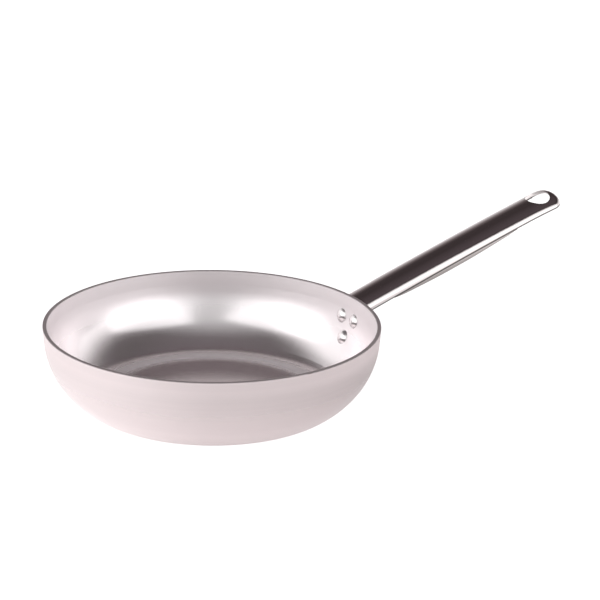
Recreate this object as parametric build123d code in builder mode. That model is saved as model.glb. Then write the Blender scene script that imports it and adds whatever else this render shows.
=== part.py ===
from build123d import *
from math import acos, asin, cos, degrees, radians, sin, sqrt, tan
import os

# Omelette pan: a spun aluminium body and a pressed stainless steel handle, joined by three rivets.
# Millimetres. The origin is the middle of the flat underside, +Z is up, and the handle points to +X.

# Pan body
rim_diameter = 240.0
pan_height = 58.5
wall = 3.0
wall_taper = 4.3            # degrees, lean of the straight band under the rim
side_radius = 58.5          # outside of the large bend of the side
heel_radius = 17.0          # outside of the small bend beside the base
heel_turn = 32.5            # degrees that the small bend turns
inner_heel_radius = 24.0    # the same bend on the inside, where the metal is a little thicker
rim_round = 0.6

# Handle
sheet = 1.2
root_width = 27.9           # where it leaves the rim
tip_width = 31.1            # at its far end
root_depth = 5.3            # of its sides under the line of its upper corners, where it leaves the rim
tip_depth = 3.9
handle_rise = 19.3          # degrees at the pan
handle_reach = 181.8        # from the rim to the handle's far end, level
bow_radius = 4300.0         # the handle's gentle arch, seen from the side
shoulder_drop = 5.65        # from the rim down to the line of the upper corners
crown = 4.2                 # rise of the middle of the top over its corners at the far end
corner_radius = 4.8
tip_corner_radius = 9.0
tip_crown = 2.6             # how far the end of the handle is rounded out
tip_flare = 1.5             # how far each side turns out beside the hanging hole
flare_run = 32.0
lower_edge_radius = 0.8     # along the outside of the sides' lower edge
root_overlap = 7.0          # run of the handle's blank that the pan's side trims off

# Belly that closes the handle from below
belly_start = 26.0          # from the rim
belly_end = 45.4            # from the handle's far end
belly_depth = 7.6           # from the flanks to the seam
belly_setback = 0.4         # step from the handle's side in to the belly
belly_lap = 1.6             # height of belly that stands inside the sides
belly_flank = 0.4           # straight run of its flanks under the sides
belly_least = 0.4
seam_gap = 1.2
belly_station_shares = [0, 0.04, 0.14, 0.3, 0.5, 0.7, 0.86, 0.96, 1]

# Hanging hole
hanging_hole_length = 17.2
hanging_hole_width = 22.0
hanging_hole_reach = 13.9   # from the handle's far end back to the hole's middle

# Rivets
rivet_spread = 15.9         # between the two upper rivets
upper_rivet_drop = 16.7     # under the rim, on the inside of the wall
lower_rivet_drop = 30.3
shank_diameter = 5.0
shank_clearance = 0.05
head_diameter = 10.8
head_height = 2.3
formed_head_diameter = 9.1
formed_head_height = 2.2

# Flange of the handle, against the pan's side
flange_toe_radius = 8.5
gusset_reach = 6.0          # from the rim's radius out along the handle
gusset_drop = 12.0          # from the handle's lower edge down along the flange

overrun = 2.0               # how far a cut runs past the face that it opens

# Worked out from the sizes above
rim_radius = rim_diameter / 2
taper = radians(wall_taper)
turn = radians(heel_turn)
heel_top = heel_radius * (1 - cos(turn))
bend_top = heel_top + side_radius * (cos(turn) - sin(taper))
bend_top_radius = rim_radius - (pan_height - bend_top) * tan(taper)
bend_centre_radius = bend_top_radius - side_radius * cos(taper)
bend_centre_height = bend_top + side_radius * sin(taper)
handle_end = rim_radius + handle_reach
shoulder_height = pan_height - shoulder_drop
rise = radians(handle_rise)
crown_radius = ((tip_width / 2) ** 2 + crown**2) / (2 * crown)


def heel_start(inset, heel):
    """Radius where the flat base ends, on a surface inset inside the outside that has this heel radius."""
    heel_rise = bend_centre_height - inset - heel
    return bend_centre_radius + sqrt((side_radius - inset - heel) ** 2 - heel_rise**2)


def side_path(inset, heel):
    """Line of that surface, from the base outwards and up to the rim."""
    heel_angle = degrees(acos((bend_centre_height - inset - heel) / (side_radius - inset - heel)))
    corner = JernArc((heel_start(inset, heel), inset), (1, 0), heel, heel_angle)
    bend = JernArc(corner @ 1, corner % 1, side_radius - inset, 90 - heel_angle - wall_taper)
    rim = (rim_radius - inset / cos(taper), pan_height)
    Line(bend @ 1, rim)
    return rim


def wall_place(height, inset):
    """Radius and lean of that surface at a height."""
    radius = side_radius - inset
    if height > bend_centre_height - radius * sin(taper):
        return rim_radius - inset / cos(taper) - (pan_height - height) * tan(taper), taper
    lean = asin((bend_centre_height - height) / radius)
    return bend_centre_radius + radius * cos(lean), lean


def rivet_plane(side, height):
    """Plane on the inside of the wall, facing out of the pan, at a rivet's height and distance to the side."""
    radius, lean = wall_place(height, wall)
    swing = asin(side / radius)
    outward = (cos(lean) * cos(swing), cos(lean) * sin(swing), -sin(lean))
    return Plane(
        origin=(radius * cos(swing), side, height),
        x_dir=(-sin(swing), cos(swing), 0),
        z_dir=outward,
    )


rivet_planes = {
    "rivet_upper_left": rivet_plane(rivet_spread / 2, pan_height - upper_rivet_drop),
    "rivet_upper_right": rivet_plane(-rivet_spread / 2, pan_height - upper_rivet_drop),
    "rivet_lower": rivet_plane(0, pan_height - lower_rivet_drop),
}

os.makedirs("parts", exist_ok=True)

# Pan body: one disc of aluminium, spun to a flat base, a rounded side and a ground rim
base_radius = heel_start(0, heel_radius)
floor_radius = heel_start(wall, inner_heel_radius)
with BuildPart() as pan_body:
    with BuildSketch(Plane.XZ):
        with BuildLine():
            outer_rim = side_path(0, heel_radius)
            inner_rim = side_path(wall, inner_heel_radius)
            Line(outer_rim, inner_rim)
            Polyline((base_radius, 0), (0, 0), (0, wall), (floor_radius, wall))
        make_face()
    revolve(axis=Axis.Z)
    rim_edges = pan_body.edges().filter_by(GeomType.CIRCLE).group_by(Axis.Z)[-1]
    fillet(rim_edges, radius=rim_round)
    for plane in rivet_planes.values():
        with Locations(plane.offset(wall / 2)):
            Cylinder(shank_diameter / 2, wall + 2 * overrun, mode=Mode.SUBTRACT)

# What the body's outside takes up, which trims the handle's root and flange to it
with BuildPart() as body_room:
    with BuildSketch(Plane.XZ):
        with BuildLine():
            Polyline(side_path(0, heel_radius), (0, pan_height), (0, 0), (base_radius, 0))
        make_face()
    revolve(axis=Axis.Z)

# Line of the handle's upper corners, seen from the side: a slow arch that starts inside the pan's wall
spine_start = (rim_radius - root_overlap, shoulder_height - root_overlap * tan(rise))
spine_run = (handle_reach + root_overlap + overrun) / cos(rise)
with BuildLine(Plane.XZ) as spine:
    JernArc(spine_start, (cos(rise), sin(rise)), bow_radius, -degrees(spine_run / bow_radius))


def spine_share(reach):
    """Share of the spine at a distance from the pan's axis."""
    low, high = 0.0, 1.0
    while high - low > 1e-9:
        middle = (low + high) / 2
        if (spine.line @ middle).X < reach:
            low = middle
        else:
            high = middle
    return (low + high) / 2


def across(reach):
    """Plane square to the handle at a distance from the pan's axis: X is across it and Y is its up."""
    share = spine_share(reach)
    return Plane(origin=spine.line @ share, x_dir=(0, 1, 0), z_dir=spine.line % share)


def top_plane(reach):
    """Plane along the handle's top at a distance from the pan's axis: X is along it, Z is its up."""
    share = spine_share(reach)
    along = spine.line % share
    return Plane(origin=spine.line @ share, x_dir=along, z_dir=along.cross(Vector(0, 1, 0)))


def between(root, tip, reach):
    """Size that grows evenly from the handle's root to its tip, at a distance from the pan's axis."""
    return root + (tip - root) * (reach - rim_radius) / handle_reach


def under(reach, lift):
    """Place in the handle's side view at a height over the lower edge of its sides, as X and Z."""
    place = top_plane(reach).offset(lift - between(root_depth, tip_depth, reach)).origin
    return place.X, place.Z


def top_height(side, inset):
    """Height of the crowned top over the spine at a distance to the side, on a surface inset inside it."""
    radius = crown_radius - inset
    return crown - crown_radius + sqrt(radius**2 - side**2)


def channel_face(inset):
    """Cross-section of the crowned top, filled down past the sides, on a surface inset inside it."""
    side = tip_width / 2 + overrun
    corner = (side, top_height(side, inset))
    low = -root_depth - overrun
    with BuildSketch(across(spine_start[0])) as face:
        with BuildLine():
            ThreePointArc((-side, corner[1]), (0, top_height(0, inset)), corner)
            Polyline(corner, (side, low), (-side, low), (-side, corner[1]))
        make_face()
    return face.sketch


def plan_face(inset):
    """Plan of the handle, wider towards its rounded end, on a surface inset inside its outside."""
    end = -inset
    shoulder = end - tip_crown
    start = rim_radius - root_overlap - overrun
    tip_half = tip_width / 2 + tip_flare - inset
    bend_half = between(root_width, tip_width, handle_end - flare_run) / 2 - inset
    root_half = between(root_width, tip_width, start) / 2 - inset
    bend = -flare_run / cos(rise)
    back = (start - handle_end) / cos(rise)
    slope = (bend_half - root_half) / (bend - back)
    with BuildSketch(top_plane(handle_end)) as face:
        with BuildLine():
            Polyline((bend, bend_half), (back, root_half), (back, -root_half), (bend, -bend_half))
            TangentArc((bend, -bend_half), (shoulder, -tip_half), tangent=(1, -slope))
            TangentArc((bend, bend_half), (shoulder, tip_half), tangent=(1, slope))
            ThreePointArc((shoulder, -tip_half), (end, 0), (shoulder, tip_half))
        make_face()
        fillet(face.vertices().group_by(Axis.X)[-1], radius=tip_corner_radius - inset)
    return face.sketch


def belly_face(reach, inset, share):
    """Cross-section of the belly, filled, on a surface inset inside its outside."""
    half = between(root_width, tip_width, reach) / 2 - belly_setback - inset
    drop = belly_least + (belly_depth - belly_least) * sqrt(1 - (2 * share - 1) ** 2)
    floor = inset - between(root_depth, tip_depth, reach) - belly_flank
    ceiling = floor + belly_flank + belly_lap
    with BuildSketch(across(reach)) as face:
        with BuildLine():
            Polyline((half, floor), (half, ceiling), (-half, ceiling), (-half, floor))
            EllipticalCenterArc((0, floor), half, drop, start_angle=180, arc_size=180)
        make_face()
    return face.sketch


def face_edges(block, up):
    """Edges around a block's largest upper or lower face, but for the one at the pan."""
    faces = block.faces().filter_by(lambda face: face.normal_at().Z * up > 0)
    return faces.sort_by(SortBy.AREA)[-1].edges().sort_by(Axis.X)[1:]


# Filled outside of the handle's top and sides, with the sides trimmed to their lower edge
middle_reach = rim_radius + handle_reach / 2
with BuildPart() as channel_block:
    add(channel_face(0))
    sweep(path=spine.line)
    add(plan_face(0))
    extrude(amount=handle_end, both=True, mode=Mode.INTERSECT)
    fillet(face_edges(channel_block, 1), radius=corner_radius)
    with BuildSketch(Plane.XZ):
        with BuildLine():
            edge = ThreePointArc(under(spine_start[0], 0), under(middle_reach, 0), under(handle_end + overrun, 0))
            low = -root_depth - 2 * overrun
            Polyline(edge @ 0, under(spine_start[0], low), under(handle_end + overrun, low), edge @ 1)
        make_face()
    extrude(amount=tip_width, both=True, mode=Mode.SUBTRACT)
    fillet(face_edges(channel_block, -1), radius=lower_edge_radius)

# Filled inside of the same, open below
with BuildPart() as channel_room:
    add(channel_face(sheet))
    sweep(path=spine.line)
    add(plan_face(sheet))
    extrude(amount=handle_end, both=True, mode=Mode.INTERSECT)
    fillet(face_edges(channel_room, 1), radius=corner_radius - sheet)

# Sheet that lies on the body's side all round, which the flange is cut from
with BuildPart() as wrap:
    with BuildSketch(Plane.XZ):
        with BuildLine():
            Line(side_path(0, heel_radius), side_path(-sheet, heel_radius + sheet))
            Line((base_radius, 0), (base_radius, -sheet))
        make_face()
    revolve(axis=Axis.Z)

# Flange: a plate bent to the body's side that closes the channel's end, with its three rivet holes.
# It is round under the lower rivet, and its upper edges lie inside the gussets and the handle's sides.
upper_seat = rivet_planes["rivet_upper_left"].offset(wall + sheet).origin
lower_seat = rivet_planes["rivet_lower"].offset(wall + sheet).origin
neck_width = root_width - sheet
neck_height = under(rim_radius, sheet)[1] - upper_seat.Z
with BuildPart() as flange:
    with BuildSketch(Plane.YZ):
        with Locations((0, lower_seat.Z)):
            Circle(flange_toe_radius)
        with Locations((rivet_spread / 2, upper_seat.Z), (-rivet_spread / 2, upper_seat.Z)):
            Circle((neck_width - rivet_spread) / 2)
        make_hull()
        with Locations((0, upper_seat.Z + neck_height / 2)):
            Rectangle(neck_width, neck_height)
    extrude(amount=rim_radius + gusset_reach)
    add(channel_block.part)
    add(wrap.part, mode=Mode.INTERSECT)
    for plane in rivet_planes.values():
        with Locations(plane.offset(wall + sheet / 2)):
            Cylinder(shank_diameter / 2, sheet + 2 * overrun, mode=Mode.SUBTRACT)

# Gussets: the handle's sides run down the flange's edges
gusset_foot = under(rim_radius, 0)[1] - gusset_drop
gusset_tip = under(rim_radius + gusset_reach, 0)
foot_radius = wall_place(gusset_foot, -sheet)[0]
with BuildPart() as gussets:
    with BuildSketch(Plane.XZ):
        with BuildLine():
            RadiusArc((foot_radius, gusset_foot), gusset_tip, -2 * gusset_reach)
            Polyline(
                gusset_tip,
                under(rim_radius + gusset_reach, sheet),
                under(rim_radius - root_overlap, sheet),
                (rim_radius - root_overlap, gusset_foot),
                (foot_radius, gusset_foot),
            )
        make_face()
    extrude(amount=tip_width, both=True)
    add(plan_face(0))
    extrude(amount=handle_end, both=True, mode=Mode.INTERSECT)
    add(plan_face(sheet))
    extrude(amount=handle_end, both=True, mode=Mode.SUBTRACT)

# Belly: the sheet's two edges, folded in from the handle's sides to a seam underneath
belly_root = rim_radius + belly_start
belly_run = handle_reach - belly_start - belly_end
with BuildPart() as belly_room:
    for share in belly_station_shares:
        add(belly_face(belly_root + share * belly_run, sheet, share))
    loft()

with BuildPart() as belly:
    for share in belly_station_shares:
        add(belly_face(belly_root + share * belly_run, 0, share))
    loft()
    add(belly_room.part, mode=Mode.SUBTRACT)

# Handle: one blank of stainless steel, folded into a channel with a belly, a flange and a hanging hole
with BuildPart() as handle:
    add(channel_block.part)
    add(channel_room.part, mode=Mode.SUBTRACT)
    add(belly.part)
    add(gussets.part)
    add(body_room.part, mode=Mode.SUBTRACT)
    add(flange.part)
    with BuildSketch(across(handle_end)):
        inner = tip_width / 2 + tip_flare - sheet
        low = -tip_depth - overrun
        with BuildLine():
            ThreePointArc((-inner, -tip_depth), (0, crown - tip_depth), (inner, -tip_depth))
            Polyline((inner, -tip_depth), (inner, low), (-inner, low), (-inner, -tip_depth))
        make_face()
    extrude(amount=tip_corner_radius, both=True, mode=Mode.SUBTRACT)
    with BuildSketch(Plane.XZ):
        with BuildLine():
            Polyline(
                under(belly_root - overrun, overrun),
                under(belly_root + belly_run + overrun, overrun),
                under(belly_root + belly_run + overrun, -belly_depth - overrun),
                under(belly_root - overrun, -belly_depth - overrun),
                close=True,
            )
        make_face()
    extrude(amount=seam_gap / 2, both=True, mode=Mode.SUBTRACT)
    with BuildSketch(top_plane(handle_end - hanging_hole_reach)):
        Ellipse(hanging_hole_length / 2, hanging_hole_width / 2)
    extrude(amount=tip_width, both=True, mode=Mode.SUBTRACT)

# Rivets: a low dome inside the pan, a shank through wall and flange, and a formed head outside
seat_gap = (head_diameter / 2) ** 2 / (2 * (side_radius - wall))
grip = wall + sheet
shank_radius = shank_diameter / 2 - shank_clearance


def dome_radius(diameter, height):
    """Radius of the ball that a head of this diameter and height is a cap of."""
    return ((diameter / 2) ** 2 + height**2) / (2 * height)


rivets = []
for name, plane in rivet_planes.items():
    with BuildPart() as rivet:
        with BuildSketch(Plane(origin=plane.origin, x_dir=plane.x_dir, z_dir=-plane.y_dir)):
            with BuildLine():
                head_top = (0, -seat_gap - head_height)
                head_edge = (head_diameter / 2, -seat_gap)
                formed_edge = (formed_head_diameter / 2, grip)
                formed_top = (0, grip + formed_head_height)
                RadiusArc(head_top, head_edge, -dome_radius(head_diameter, head_height))
                Polyline(head_edge, (shank_radius, -seat_gap), (shank_radius, grip), formed_edge)
                RadiusArc(formed_edge, formed_top, -dome_radius(formed_head_diameter, formed_head_height))
                Line(formed_top, head_top)
            make_face()
        revolve(axis=Axis(plane.origin, plane.z_dir))
    rivet.part.label = name
    rivets.append(rivet.part)

pan_body.part.label = "pan_body"
handle.part.label = "handle"
for piece in [pan_body.part, handle.part] + rivets:
    export_step(piece, f"parts/{piece.label}.step")
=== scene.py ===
import math

import bpy
from mathutils import Matrix, Quaternion, Vector

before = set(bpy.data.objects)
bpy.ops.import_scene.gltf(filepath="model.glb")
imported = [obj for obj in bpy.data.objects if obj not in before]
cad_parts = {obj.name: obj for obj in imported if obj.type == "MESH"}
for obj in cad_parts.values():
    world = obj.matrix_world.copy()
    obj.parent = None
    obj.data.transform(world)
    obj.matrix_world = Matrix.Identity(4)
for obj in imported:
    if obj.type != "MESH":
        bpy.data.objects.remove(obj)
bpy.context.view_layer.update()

# Pan body. One disc of aluminium, spun over a form to a flat base, a deep rounded side and a plain rim.
# It is left in its turned satin finish, with fine marks that run in rings, and its rim is ground flat.
pan_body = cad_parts["pan_body"]


class Finish:
    """The nodes of a metal, a paper or a room, with short ways to add them and to work out values."""

    def __init__(self, owner):
        owner.use_nodes = True
        self.tree = owner.node_tree
        self.tree.nodes.clear()

    def feed(self, value, socket):
        """Joins another node's output to a socket, or sets a number, colour or direction on it."""
        if isinstance(value, bpy.types.NodeSocket):
            self.tree.links.new(value, socket)
        else:
            socket.default_value = value

    def add(self, kind, **settings):
        """A new node, with its sockets and its own settings filled in by their names."""
        node = self.tree.nodes.new("ShaderNode" + kind)
        for key, value in settings.items():
            if key in node.inputs:
                self.feed(value, node.inputs[key])
            else:
                setattr(node, key, value)
        return node

    def calc(self, operation, first, second=0.0):
        """The result of one operation on one or two values."""
        node = self.add("Math", operation=operation)
        self.feed(first, node.inputs[0])
        self.feed(second, node.inputs[1])
        return node.outputs[0]

    def product(self, first, *others):
        """All the values multiplied, so that it is full only where each of them is."""
        for other in others:
            first = self.calc("MULTIPLY", first, other)
        return first

    def total(self, start, *parts):
        """A starting value plus each part times its weight."""
        for value, weight in parts:
            start = self.calc("ADD", start, self.calc("MULTIPLY", value, weight))
        return start

    def ease(self, value, low, high, start=0.0, end=1.0):
        """Runs smoothly from start to end while the value goes from low to high."""
        node = self.add("MapRange", interpolation_type="SMOOTHSTEP", Value=value)
        for key, number in (("From Min", low), ("From Max", high), ("To Min", start), ("To Max", end)):
            node.inputs[key].default_value = number
        return node.outputs[0]

    def along(self, vector, direction):
        """How far a vector reaches along a direction."""
        node = self.add("VectorMath", operation="DOT_PRODUCT")
        self.feed(vector, node.inputs[0])
        self.feed(direction, node.inputs[1])
        return node.outputs["Value"]

    def noise(self, vector, **settings):
        """Soft random spots, from 0 to 1."""
        return self.add("TexNoise", Vector=vector, **settings).outputs["Fac"]

    def blend(self, first, second, share):
        """A colour that goes from the first to the second while the share goes from 0 to 1."""
        mix = self.add("Mix", data_type="RGBA", Factor=share)
        first_colour, second_colour, blended_colour = mix.inputs[6], mix.inputs[7], mix.outputs[2]
        self.feed(first, first_colour)
        self.feed(second, second_colour)
        return blended_colour

    def relief(self, skin, height, strength, distance):
        """Presses a fine relief into a metal's skin, and shows the skin on the piece."""
        bump = self.add("Bump", Height=height, Strength=strength, Distance=distance)
        self.feed(bump.outputs[0], skin.inputs["Normal"])
        self.add("OutputMaterial", Surface=skin.outputs[0])


spun_aluminium = bpy.data.materials.new("spun_aluminium")
spun = Finish(spun_aluminium)
place = spun.add("TexCoord").outputs["Object"]
x, y, z = spun.add("SeparateXYZ", Vector=place).outputs
from_axis = spun.calc("SQRT", spun.calc("ADD", spun.product(x, x), spun.product(y, y)))
ring = spun.add("CombineXYZ", X=from_axis, Y=z).outputs[0]

# Fine turning marks, broader bands where the spinning tool was moved on, and a cloudy bloom from washing
marks = spun.noise(ring, Scale=1900.0, Detail=4.0, Roughness=0.65)
bands = spun.noise(ring, Scale=210.0, Detail=2.0, Roughness=0.5)
bloom = spun.noise(place, Scale=22.0, Detail=5.0, Roughness=0.55, Distortion=0.4)

# Hair scratches from stirring, only on the inside of the base
floor_top = 0.003
flat_radius = 0.07
heel_radius = 0.086
over_underside = spun.ease(z, floor_top - 0.0015, floor_top - 0.0002)
on_floor = spun.product(
    spun.ease(from_axis, heel_radius, flat_radius),
    spun.ease(z, floor_top + 0.005, floor_top + 0.0003),
    over_underside,
)
stirred = spun.add("Mapping", Vector=place, Rotation=(0, 0, 0.7), Scale=(26, 2100, 26)).outputs[0]
hair = spun.noise(stirred, Scale=1.0, Detail=2.0, Roughness=0.5, Distortion=0.15)
scratches = spun.product(spun.ease(hair, 0.64, 0.7), on_floor)

# A paler, rougher ring on the heel, with a painted highlight in its pale colour. It isn't known wear: it
# helps out the bright arc that light makes there
painted_heel_arc = spun.product(
    spun.ease(from_axis, flat_radius - 0.002, 0.08),
    spun.ease(from_axis, 0.091, 0.082),
    spun.ease(z, floor_top + 0.009, floor_top + 0.005),
    over_underside,
)

# The rim is ground, and the side gets duller towards it. What faces the middle of the pan is its inside,
# which is painted paler than the outside as painted light, to come out as bright as it should, and not
# because the metal differs
rim_top = 0.0585
rim = spun.ease(z, rim_top - 0.0008, rim_top - 0.0002)
upper_side = spun.ease(z, 0.024, 0.054)
outward = spun.along(spun.add("NewGeometry").outputs["Normal"], place)
inside = spun.product(spun.ease(outward, 0.01, -0.01), spun.ease(z, floor_top + 0.0002, floor_top + 0.005))

# How much of the light the metal mirrors, how blurred that is, and its colour. The rest is scattered, as by
# a pale paint, which bare metal doesn't do, and which stands for its satin paleness
mirroring = spun.total(0.84, (on_floor, 0.02), (painted_heel_arc, -0.36), (inside, 0.04))
roughness = spun.total(
    0.12,
    (marks, 0.08),
    (bands, 0.03),
    (bloom, 0.07),
    (upper_side, 0.32),
    (scratches, 0.08),
    (rim, 0.1),
    (on_floor, -0.05),
    (painted_heel_arc, 0.12),
)
turned_dark = (0.785, 0.705, 0.71, 1)
turned_light = (0.825, 0.74, 0.745, 1)
# A pale colour that is painted light: painted brightness on the inside and a painted highlight on the heel
# ring
painted_bright_pale = (0.95, 0.905, 0.915, 1)
# A darker grey on the ground rim, a painted dark reflection of its machined edge
painted_rim_reflection_grey = (0.5, 0.45, 0.46, 1)
shade = spun.ease(spun.total(0.0, (bands, 0.55), (marks, 0.45)), 0.3, 0.7)
colour = spun.blend(turned_dark, turned_light, shade)
# Painted light: the inside gets the pale colour as painted brightness, and the heel ring gets it as a painted
# highlight
colour = spun.blend(colour, painted_bright_pale, spun.calc("MAXIMUM", inside, painted_heel_arc))
colour = spun.blend(colour, painted_rim_reflection_grey, spun.product(rim, 0.75))

around = spun.add("Tangent", direction_type="RADIAL", axis="Z").outputs[0]
skin = spun.add("BsdfPrincipled", Anisotropic=0.3, Tangent=around, Metallic=mirroring, Roughness=roughness)
spun.feed(colour, skin.inputs["Base Color"])
turning = spun.total(0.0, (marks, 0.6), (bands, 0.9), (scratches, -0.25))
spun.relief(skin, turning, strength=0.25, distance=0.00003)
pan_body.material_slots[0].material = spun_aluminium

# Handle. One blank of stainless steel sheet, folded down at its sides and closed from below by a belly.
# It is polished on top and at the sides, duller underneath, and riveted through its flange on the pan's side.
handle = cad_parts["handle"]
polished_steel = bpy.data.materials.new("polished_steel")
steel = Finish(polished_steel)
place = steel.add("TexCoord").outputs["Object"]
apart = steel.add("SeparateXYZ", Vector=place)

# How far a point lies out from the rim, and how far over the lower edge of the folded sides
rim_radius = 0.12
out = steel.calc("SUBTRACT", apart.outputs["X"], rim_radius)
spine = steel.total(0.05285, (out, 0.3502), (steel.product(out, out), -0.139))
side_depth = steel.total(0.0056, (out, -0.0082))
over_edge = steel.calc("ADD", steel.calc("SUBTRACT", apart.outputs["Z"], spine), side_depth)

# Lines of the polishing belt along the handle, and smears from hands
drawn = steel.add("Mapping", Vector=place, Rotation=(0, 0.31, 0), Scale=(30, 2600, 2600)).outputs[0]
lines = steel.noise(drawn, Scale=1.0, Detail=4.0, Roughness=0.6)
smears = steel.noise(place, Scale=55.0, Detail=4.0, Roughness=0.6, Distortion=0.7)

# The belly under the handle is dull, and darker grey as painted shade. A dark line of painted shade runs
# along the crease between it and the folded sides
under = steel.product(steel.ease(over_edge, -0.0004, -0.0011), steel.ease(out, 0.015, 0.02))
crease = steel.product(
    steel.ease(over_edge, -0.0009, -0.0002),
    steel.ease(over_edge, 0.0016, 0.001),
    steel.ease(out, -0.004, 0.004),
)
roughness = steel.total(0.07, (lines, 0.07), (smears, 0.06), (under, 0.16), (crease, 0.2))
drawn_dark = (0.69, 0.645, 0.64, 1)
drawn_light = (0.75, 0.71, 0.705, 1)
# The belly's darker grey is painted shade, as under the handle
belly_painted_shade = (0.46, 0.42, 0.41, 1)
# A near-black for the crease, a painted shade line
crease_painted_shade = (0.08, 0.07, 0.067, 1)
colour = steel.blend(drawn_dark, drawn_light, steel.ease(lines, 0.3, 0.7))
colour = steel.blend(colour, belly_painted_shade, under)
colour = steel.blend(colour, crease_painted_shade, steel.product(crease, 0.94))

skin = steel.add("BsdfPrincipled", Metallic=1.0, Roughness=roughness)
steel.feed(colour, skin.inputs["Base Color"])
steel.relief(skin, lines, strength=0.12, distance=0.00002)
handle.material_slots[0].material = polished_steel

# Rivets. Three aluminium rivets, put in from the inside of the pan and headed over on the handle's flange.
# Their domes are pressed smooth and carry small dents from setting.
rivet_metal = bpy.data.materials.new("rivet_metal")
rivets = Finish(rivet_metal)
dents = rivets.noise(rivets.add("TexCoord").outputs["Object"], Scale=700.0, Detail=3.0, Roughness=0.5)
dented = (0.84, 0.81, 0.815, 1)
smooth = (0.92, 0.89, 0.89, 1)
skin = rivets.add("BsdfPrincipled", Metallic=0.85, Roughness=rivets.total(0.15, (dents, 0.1)))
rivets.feed(rivets.blend(dented, smooth, dents), skin.inputs["Base Color"])
rivets.relief(skin, dents, strength=0.2, distance=0.00005)
for name in ("rivet_upper_left", "rivet_upper_right", "rivet_lower"):
    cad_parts[name].material_slots[0].material = rivet_metal

# Camera. It looks down on the pan from the near side, with the handle going away to the right.
# It leans a little to one side, and it looks at a point to the right of the pan's middle and over its rim.
handle_heading = math.radians(57.57)
look_down = math.radians(18.93)
tilt = math.radians(1.126)
right = Vector((math.sin(handle_heading), -math.cos(handle_heading), 0))
away = Vector((math.cos(handle_heading), math.sin(handle_heading), 0))
ahead = away * math.cos(look_down) - Vector((0, 0, math.sin(look_down)))
up = right.cross(ahead)
camera_data = bpy.data.cameras.new("camera")
camera_data.sensor_width = 36
camera_data.lens = 133.74
camera_data.clip_end = 100
camera = bpy.data.objects.new("camera", camera_data)
bpy.context.scene.collection.objects.link(camera)
across = right * math.cos(tilt) + up * math.sin(tilt)
upright = up * math.cos(tilt) - right * math.sin(tilt)
camera.matrix_world = Matrix((across, upright, -ahead)).transposed().to_4x4()
looked_at = right * 0.06184 + up * 0.07245
stand_back = 1.6
camera.location = looked_at - ahead * stand_back
bpy.context.scene.camera = camera

# Floor. A wide sheet of white paper, which shows as white and keeps the pan's soft shadow.
# It lies a hair under the pan, so that the two don't flicker through each other when seen from below.
floor_reach = 12.0
floor_height = -0.0001
corners = [(a * floor_reach, b * floor_reach, floor_height) for a, b in ((-1, -1), (1, -1), (1, 1), (-1, 1))]
floor_mesh = bpy.data.meshes.new("floor")
floor_mesh.from_pydata(corners, [], [(0, 1, 2, 3)])
floor = bpy.data.objects.new("floor", floor_mesh)
bpy.context.scene.collection.objects.link(floor)


def ramp(finish, value, stops):
    """A colour read off a scale, whose stops are places on it with their colours."""
    node = finish.add("ValToRGB", Fac=value)
    steps = node.color_ramp.elements
    for step, (spot, colour) in zip(steps, (stops[0], stops[-1])):
        step.position = spot
        step.color = colour
    for spot, colour in stops[1:-1]:
        steps.new(spot).color = colour
    return node.outputs["Color"]


# The camera sees the paper as plain white. Metal mirrors it as bright at both sides and in front and dim
# between them, which shapes the reflections and isn't how plain white paper would look in it
white_paper = bpy.data.materials.new("white_paper")
paper = Finish(white_paper)
place = paper.add("TexCoord").outputs["Object"]
sheen_stops = [(0.2, (0.98, 0.96, 0.96, 1))]
for spot, level in ((0.36, 0.72), (0.5, 0.3), (0.66, 0.2), (0.74, 0.3)):
    sheen_stops.append((spot, (level, level * 0.97, level * 0.97, 1)))
sheen_stops.append((0.88, (1, 0.98, 0.98, 1)))
side_sheen = ramp(paper, paper.calc("ADD", paper.along(place, right), 0.5), sheen_stops)
front_sheen = paper.ease(paper.along(place, -away), 0.26, 0.4, 0.0, 0.85)
path = paper.add("LightPath").outputs
mirrored = paper.calc("MAXIMUM", path["Is Glossy Ray"], path["Is Transmission Ray"])
mirrored = paper.product(mirrored, paper.calc("MAXIMUM", side_sheen, front_sheen))
diffuse = paper.add("BsdfDiffuse", Color=(0.9, 0.9, 0.9, 1))
glow = paper.add("Emission", Color=(1, 1, 1, 1), Strength=paper.total(mirrored, (path["Is Camera Ray"], 0.8)))
both = paper.add("AddShader")
paper.feed(diffuse.outputs[0], both.inputs[0])
paper.feed(glow.outputs[0], both.inputs[1])
paper.add("OutputMaterial", Surface=both.outputs[0])
floor_mesh.materials.append(white_paper)

# Studio. Two large soft boxes stand on the near side of the pan, one to the left and one to the right.
# The walls of the room are bright low down, most of all at both sides, and dark higher up.
box_distance = 4.0


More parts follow.
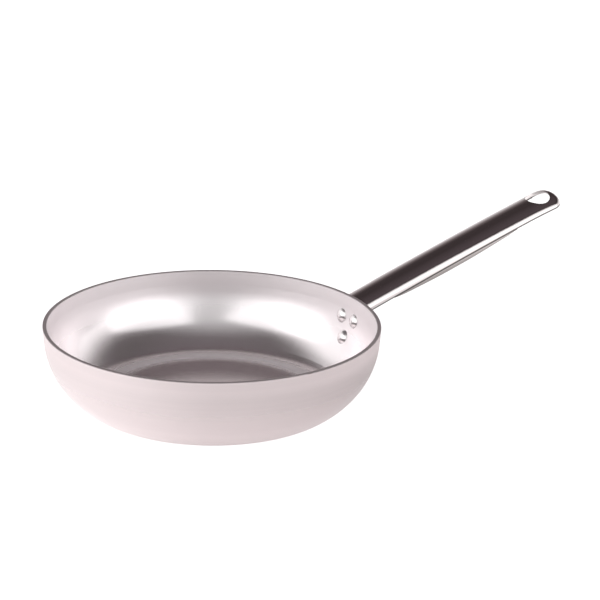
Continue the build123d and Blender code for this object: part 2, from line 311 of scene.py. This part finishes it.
def soft_box(name, turn, rise, width, height, brightness, lean):
    lamp = bpy.data.lights.new(name, "AREA")
    lamp.shape = "RECTANGLE"
    lamp.size = width
    lamp.size_y = height
    lamp.energy = brightness * math.pi * width * height
    holder = bpy.data.objects.new(name, lamp)
    bpy.context.scene.collection.objects.link(holder)
    turn, rise = math.radians(turn), math.radians(rise)
    out = (away * math.cos(turn) + right * math.sin(turn)) * math.cos(rise) + Vector((0, 0, math.sin(rise)))
    holder.location = out * box_distance
    upright = out.to_track_quat("Z", "Y")
    holder.rotation_euler = (upright @ Quaternion((0, 0, 1), math.radians(lean))).to_euler()


soft_box("soft_box_left", turn=-127, rise=26, width=5.8, height=3.4, brightness=0.72, lean=10)
soft_box("soft_box_right", turn=127, rise=24, width=4.6, height=3.5, brightness=0.78, lean=-18)

room = bpy.data.worlds.new("room")
bpy.context.scene.world = room
walls = Finish(room)
heading = walls.add("TexCoord").outputs["Generated"]
height = walls.add("SeparateXYZ", Vector=heading).outputs["Z"]
wall_stops = [(0.0, (0.95, 0.92, 0.92, 1))]
for spot, level, warmth in (
    (0.1, 0.74, 0.02),
    (0.26, 0.36, 0.05),
    (0.42, 0.13, 0.1),
    (0.57, 0.052, 0.12),
    (0.8, 0.048, 0.12),
):
    wall_stops.append((spot, (level * (1 + warmth), level * (1 - warmth), level * (1 - 0.7 * warmth), 1)))
wall_stops.append((1.0, (0.1, 0.08, 0.087, 1)))
light = ramp(walls, height, wall_stops)

# The wall behind the camera is an even grey
near_wall = (0.56, 0.56, 0.56, 1)
light = walls.blend(light, near_wall, walls.ease(walls.along(heading, -away), 0.2, 0.85))

# The walls at both sides are brighter than white, higher up on the left than on the right
side_wall = (1.32, 1.3, 1.3, 1)
to_the_right = walls.along(heading, right)
at_a_side = walls.ease(walls.calc("ABSOLUTE", to_the_right), 0.45, 0.8, 0.0, 0.85)
low_down = walls.ease(walls.total(height, (to_the_right, 0.16)), 0.8, 0.4)
light = walls.blend(light, side_wall, walls.product(at_a_side, low_down))
background = walls.add("Background", Color=light)
walls.add("OutputWorld", Surface=background.outputs[0])

bpy.context.scene.view_settings.view_transform = "Standard"
